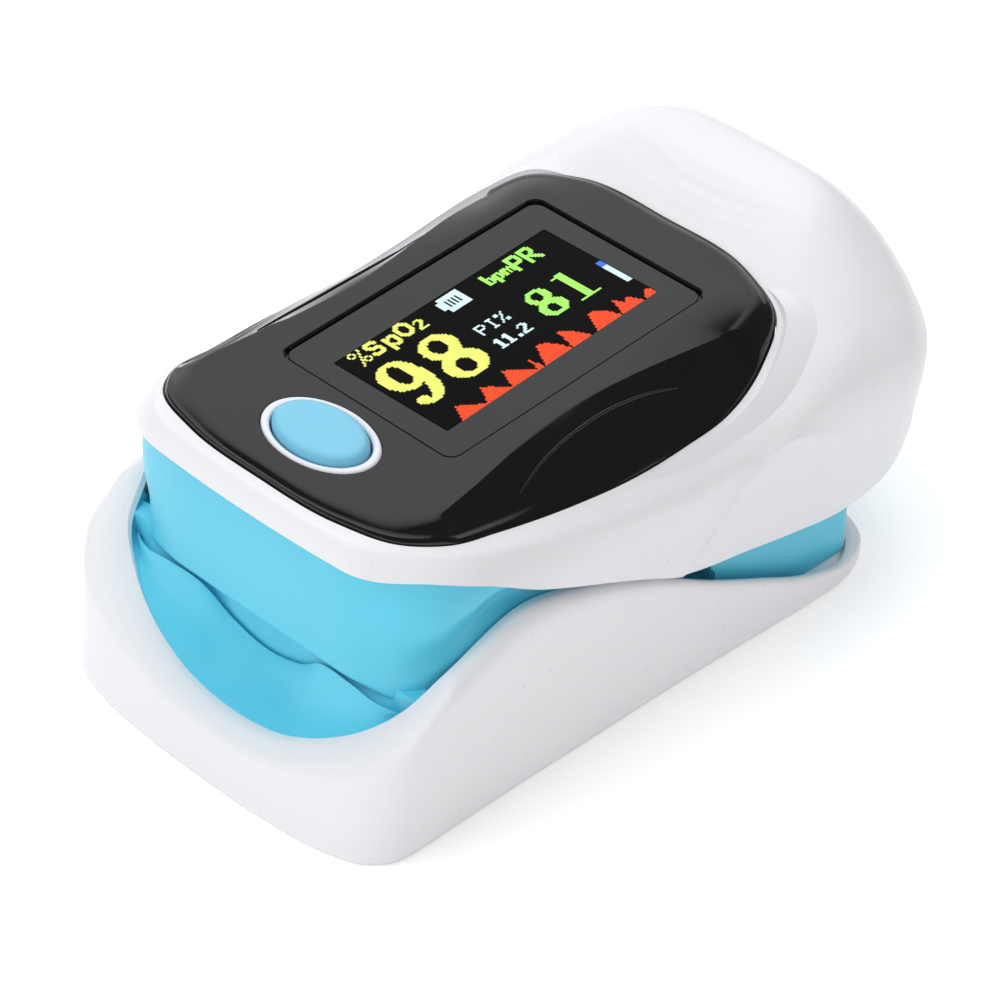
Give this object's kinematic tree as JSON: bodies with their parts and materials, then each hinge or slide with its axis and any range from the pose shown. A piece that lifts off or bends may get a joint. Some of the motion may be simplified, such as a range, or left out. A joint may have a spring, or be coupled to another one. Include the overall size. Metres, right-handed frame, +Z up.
{
  "type": "fingertip pulse oximeter",
  "caption": "Fingertip pulse oximeter: sprung upper and lower halves hinged at the side, with a lit screen, an oval push button and a battery bay.",
  "frame": {"origin": "on the table, under the middle of the whole body's box", "axes": "+Z up, -Y towards the finger end, +Y towards the squeeze end, +X across to the right seen from the finger end"},
  "size_m": [0.0386, 0.0614, 0.0296],
  "materials": {
    "shell_white": "satin moulded ABS",
    "housing_blue": "satin moulded ABS",
    "lens_black": "polished acrylic, black",
    "window_clear": "clear polished acrylic",
    "button_blue": "satin moulded ABS",
    "bezel_white": "satin moulded ABS",
    "foam_black": "closed-cell foam",
    "screen": "display glass, lit",
    "board_green": "solder mask on glass-epoxy",
    "chip_black": "moulded epoxy",
    "switch_metal": "stamped steel",
    "pad_silicone": "soft matt silicone",
    "sensor_clear": "clear resin",
    "screw_steel": "zinc plated",
    "cell_wrap": "printed shrink film",
    "contact_nickel": "nickel plated spring steel",
    "pin_steel": "ground steel",
    "flex_amber": "polyimide film"
  },
  "bodies": {
    "lower_half": {"lower_shell": "shell_white", "lower_housing": "housing_blue", "lower_finger_pad": "pad_silicone", "photodiode_board": "board_green", "photodiode": "chip_black", "photodiode_window": "sensor_clear", "battery_right": "cell_wrap", "battery_left": "cell_wrap", "battery_springs": "contact_nickel", "battery_link_plate": "contact_nickel", "battery_terminal_plates": "contact_nickel", "hinge_pins": "pin_steel", "torsion_springs": "contact_nickel", "flex_cable": "flex_amber", "lower_screws": "screw_steel"},
    "upper_half": {"top_shell": "shell_white", "lens_cover": "lens_black", "display_window": "window_clear", "button_bezel": "bezel_white", "display_gasket": "foam_black", "oled_panel": "screen", "main_pcb": "board_green", "tact_switch": "switch_metal", "mcu_chip": "chip_black", "boost_inductor": "chip_black", "flex_connector": "bezel_white", "chip_parts": "chip_black", "upper_housing": "housing_blue", "upper_finger_pad": "pad_silicone", "emitter_board": "board_green", "emitter_led": "sensor_clear", "emitter_window": "sensor_clear", "upper_screws": "screw_steel"},
    "button": {"power_button": "button_blue", "switch_plunger": "chip_black"},
    "cover": {"battery_cover": "shell_white"}
  },
  "joints": [
    {"name": "jaw_hinge", "type": "hinge", "parent": "lower_half", "child": "upper_half", "pos_m": [0, 0.0015, 0.011], "axis": [-1, 0, 0], "range_deg": [0, 16], "stiffness_Nm_per_rad": 0.12, "springref_deg": -28.65, "deforming": ["torsion_springs", "flex_cable"]},
    {"name": "button_press", "type": "slide", "parent": "upper_half", "child": "button", "axis": [0, 0.0384, -0.9993], "range_m": [0, 0.0004], "stiffness_N_per_m": 1500, "springref_m": -0.0003},
    {"name": "battery_cover_slide", "type": "slide", "parent": "lower_half", "child": "cover", "axis": [0, 1, 0], "range_m": [0, 0.048]}
  ]
}
